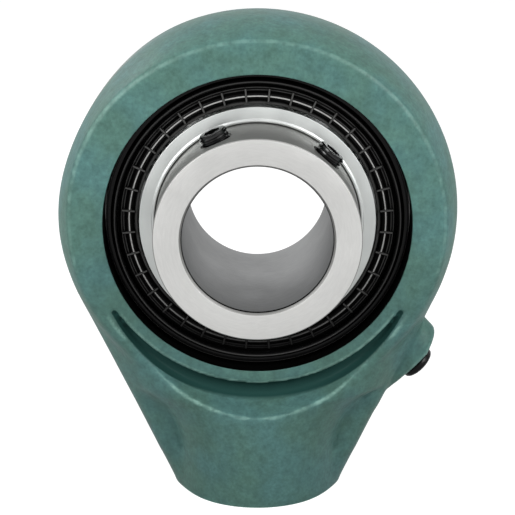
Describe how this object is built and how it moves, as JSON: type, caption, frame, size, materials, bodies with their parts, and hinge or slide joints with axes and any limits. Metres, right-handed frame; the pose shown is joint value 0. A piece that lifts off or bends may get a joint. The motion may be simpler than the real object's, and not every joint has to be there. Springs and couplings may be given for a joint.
{
  "type": "hanger ball bearing unit",
  "caption": "Ring-shaped cast housing on a pipe-tapped boss, holding a self-aligning sealed ball bearing insert with a wide inner ring and set screws.",
  "frame": {"origin": "on the boss face that takes the pipe, under the middle of the whole unit's outline box; the ball plane is 2.75 mm behind it", "axes": "+Z from the boss face up to the shaft axis; the shaft lies along Y and the set-screw side faces -Y; +X is to the right seen from the set-screw side"},
  "size_m": [0.1054, 0.0506, 0.1289],
  "materials": {
    "painted_iron": "blue-green enamel over an as-cast surface",
    "inner_ring_steel": "ground bearing steel",
    "outer_ring_steel": "blued bearing steel",
    "ball_steel": "polished chrome steel",
    "pressed_steel": "bright pressed sheet steel",
    "black_steel": "black oxide",
    "seal_rubber": "glossy moulded nitrile",
    "plug_plastic": "moulded polythene"
  },
  "bodies": {
    "housing": {"housing": "painted_iron", "grease_plug": "plug_plastic"},
    "outer_race": {"outer_ring": "outer_ring_steel", "anti_rotation_pin": "black_steel", "front_shroud": "black_steel", "back_shroud": "black_steel", "front_seal": "seal_rubber", "back_seal": "seal_rubber"},
    "inner_race": {"inner_ring": "inner_ring_steel", "front_flinger": "pressed_steel", "back_flinger": "pressed_steel"},
    "set_screw_1": {"set_screw_1": "black_steel"},
    "set_screw_2": {"set_screw_2": "black_steel"},
    "cage": {"front_cage_half": "pressed_steel", "back_cage_half": "pressed_steel", "cage_rivet_1": "pressed_steel", "cage_rivet_2": "pressed_steel", "cage_rivet_3": "pressed_steel", "cage_rivet_4": "pressed_steel", "cage_rivet_5": "pressed_steel", "cage_rivet_6": "pressed_steel", "cage_rivet_7": "pressed_steel", "cage_rivet_8": "pressed_steel", "cage_rivet_9": "pressed_steel"},
    "ball_1": {"ball_1": "ball_steel"},
    "ball_2": {"ball_2": "ball_steel"},
    "ball_3": {"ball_3": "ball_steel"},
    "ball_4": {"ball_4": "ball_steel"},
    "ball_5": {"ball_5": "ball_steel"},
    "ball_6": {"ball_6": "ball_steel"},
    "ball_7": {"ball_7": "ball_steel"},
    "ball_8": {"ball_8": "ball_steel"},
    "ball_9": {"ball_9": "ball_steel"}
  },
  "joints": [
    {"name": "self_align_tilt", "type": "hinge", "parent": "housing", "child": "outer_race", "pos_m": [0, 0.00275, 0.0762], "axis": [1, 0, 0], "range_deg": [-2, 2]},
    {"name": "inner_ring_spin", "type": "hinge", "parent": "outer_race", "child": "inner_race", "pos_m": [0, 0.00275, 0.0762], "axis": [0, 1, 0], "continuous": true},
    {"name": "cage_orbit", "type": "hinge", "parent": "outer_race", "child": "cage", "pos_m": [0, 0.00275, 0.0762], "axis": [0, 1, 0], "continuous": true},
    {"name": "set_screw_1_travel", "type": "slide", "parent": "inner_race", "child": "set_screw_1", "axis": [0.3987, 0, -0.9171], "range_m": [-0.003, 0.0005]},
    {"name": "set_screw_2_travel", "type": "slide", "parent": "inner_race", "child": "set_screw_2", "axis": [-0.6626, 0, -0.749], "range_m": [-0.003, 0.0005]},
    {"name": "ball_1_spin", "type": "hinge", "parent": "cage", "child": "ball_1", "pos_m": [0, 0.00275, 0.1062], "axis": [0, 1, 0], "continuous": true},
    {"name": "ball_2_spin", "type": "hinge", "parent": "cage", "child": "ball_2", "pos_m": [0.01928, 0.00275, 0.09918], "axis": [0, 1, 0], "continuous": true},
    {"name": "ball_3_spin", "type": "hinge", "parent": "cage", "child": "ball_3", "pos_m": [0.02954, 0.00275, 0.08141], "axis": [0, 1, 0], "continuous": true},
    {"name": "ball_4_spin", "type": "hinge", "parent": "cage", "child": "ball_4", "pos_m": [0.02598, 0.00275, 0.0612], "axis": [0, 1, 0], "continuous": true},
    {"name": "ball_5_spin", "type": "hinge", "parent": "cage", "child": "ball_5", "pos_m": [0.01026, 0.00275, 0.04801], "axis": [0, 1, 0], "continuous": true},
    {"name": "ball_6_spin", "type": "hinge", "parent": "cage", "child": "ball_6", "pos_m": [-0.01026, 0.00275, 0.04801], "axis": [0, 1, 0], "continuous": true},
    {"name": "ball_7_spin", "type": "hinge", "parent": "cage", "child": "ball_7", "pos_m": [-0.02598, 0.00275, 0.0612], "axis": [0, 1, 0], "continuous": true},
    {"name": "ball_8_spin", "type": "hinge", "parent": "cage", "child": "ball_8", "pos_m": [-0.02954, 0.00275, 0.08141], "axis": [0, 1, 0], "continuous": true},
    {"name": "ball_9_spin", "type": "hinge", "parent": "cage", "child": "ball_9", "pos_m": [-0.01928, 0.00275, 0.09918], "axis": [0, 1, 0], "continuous": true}
  ],
  "couplings": [
    {"joint": "cage_orbit", "follows": "inner_ring_spin", "ratio": 0.39417},
    {"joint": "ball_1_spin", "follows": "inner_ring_spin", "ratio": -2.2564},
    {"joint": "ball_2_spin", "follows": "inner_ring_spin", "ratio": -2.2564},
    {"joint": "ball_3_spin", "follows": "inner_ring_spin", "ratio": -2.2564},
    {"joint": "ball_4_spin", "follows": "inner_ring_spin", "ratio": -2.2564},
    {"joint": "ball_5_spin", "follows": "inner_ring_spin", "ratio": -2.2564},
    {"joint": "ball_6_spin", "follows": "inner_ring_spin", "ratio": -2.2564},
    {"joint": "ball_7_spin", "follows": "inner_ring_spin", "ratio": -2.2564},
    {"joint": "ball_8_spin", "follows": "inner_ring_spin", "ratio": -2.2564},
    {"joint": "ball_9_spin", "follows": "inner_ring_spin", "ratio": -2.2564}
  ]
}
